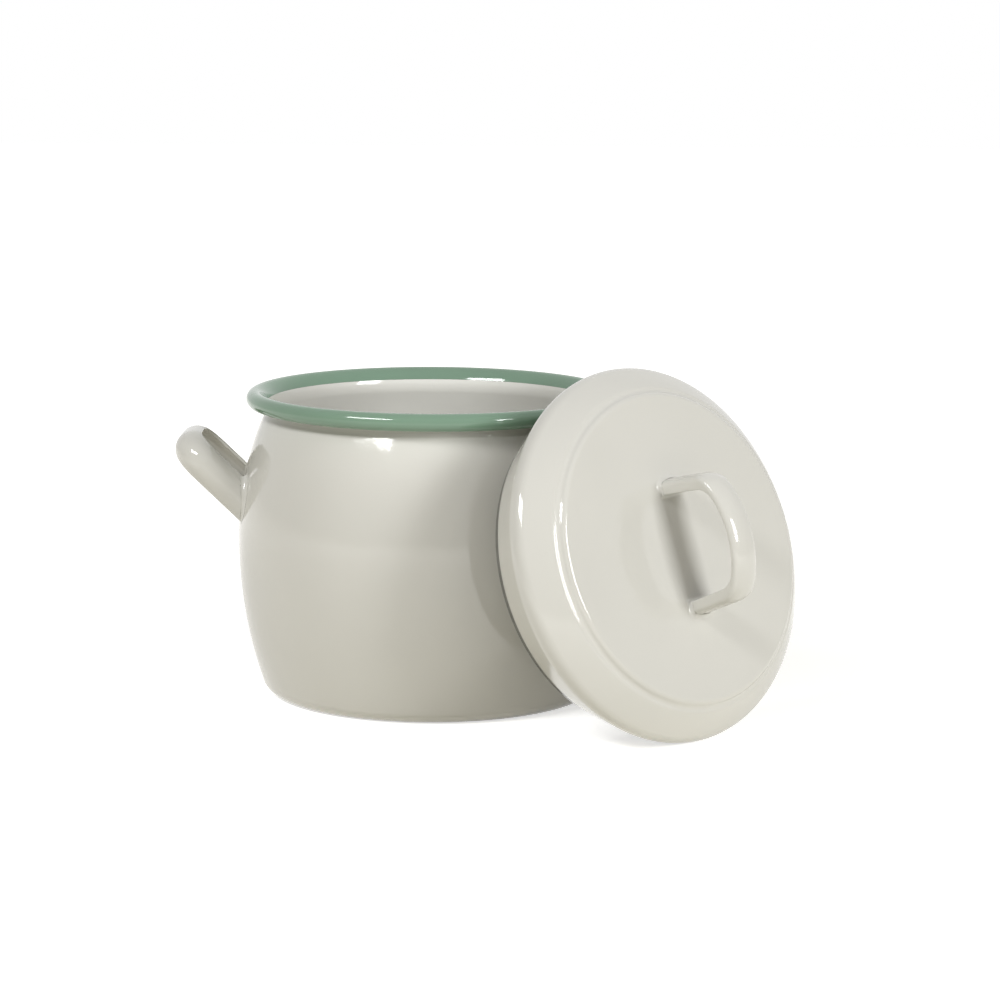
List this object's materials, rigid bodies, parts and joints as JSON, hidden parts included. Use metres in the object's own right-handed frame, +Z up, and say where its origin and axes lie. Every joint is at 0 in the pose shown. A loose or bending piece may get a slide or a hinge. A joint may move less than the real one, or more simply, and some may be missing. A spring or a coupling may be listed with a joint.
{
  "type": "enamel jar with lid",
  "caption": "Round-bellied enamelled steel storage jar with a rolled green rim, loop side handles and a stepped lid with a bow handle, the lid taken off and leant on the rim",
  "frame": {"origin": "centre of the jar's foot, on the plane it stands on", "axes": "+Z up along the jar's axis, +X towards the right handle, -Y towards the front; the lid leans on the rim between +X and -Y"},
  "size_m": [0.2145, 0.1805, 0.1205],
  "materials": {
    "cream_enamel": "glossy vitreous enamel on sheet steel, warm cream",
    "green_enamel": "glossy vitreous enamel on sheet steel, soft green"
  },
  "bodies": {
    "jar": {"jar_shell": "cream_enamel", "rim_bead": "green_enamel", "left_handle": "cream_enamel", "right_handle": "cream_enamel", "left_handle_welds": "cream_enamel", "right_handle_welds": "cream_enamel"},
    "lid": {"lid_shell": "cream_enamel", "lid_handle": "cream_enamel", "lid_handle_welds": "cream_enamel"}
  },
  "joints": [
    {"name": "lid_lift", "type": "slide", "parent": "jar", "child": "lid", "axis": [0, 0, 1], "range_m": [0, 0.12]}
  ]
}
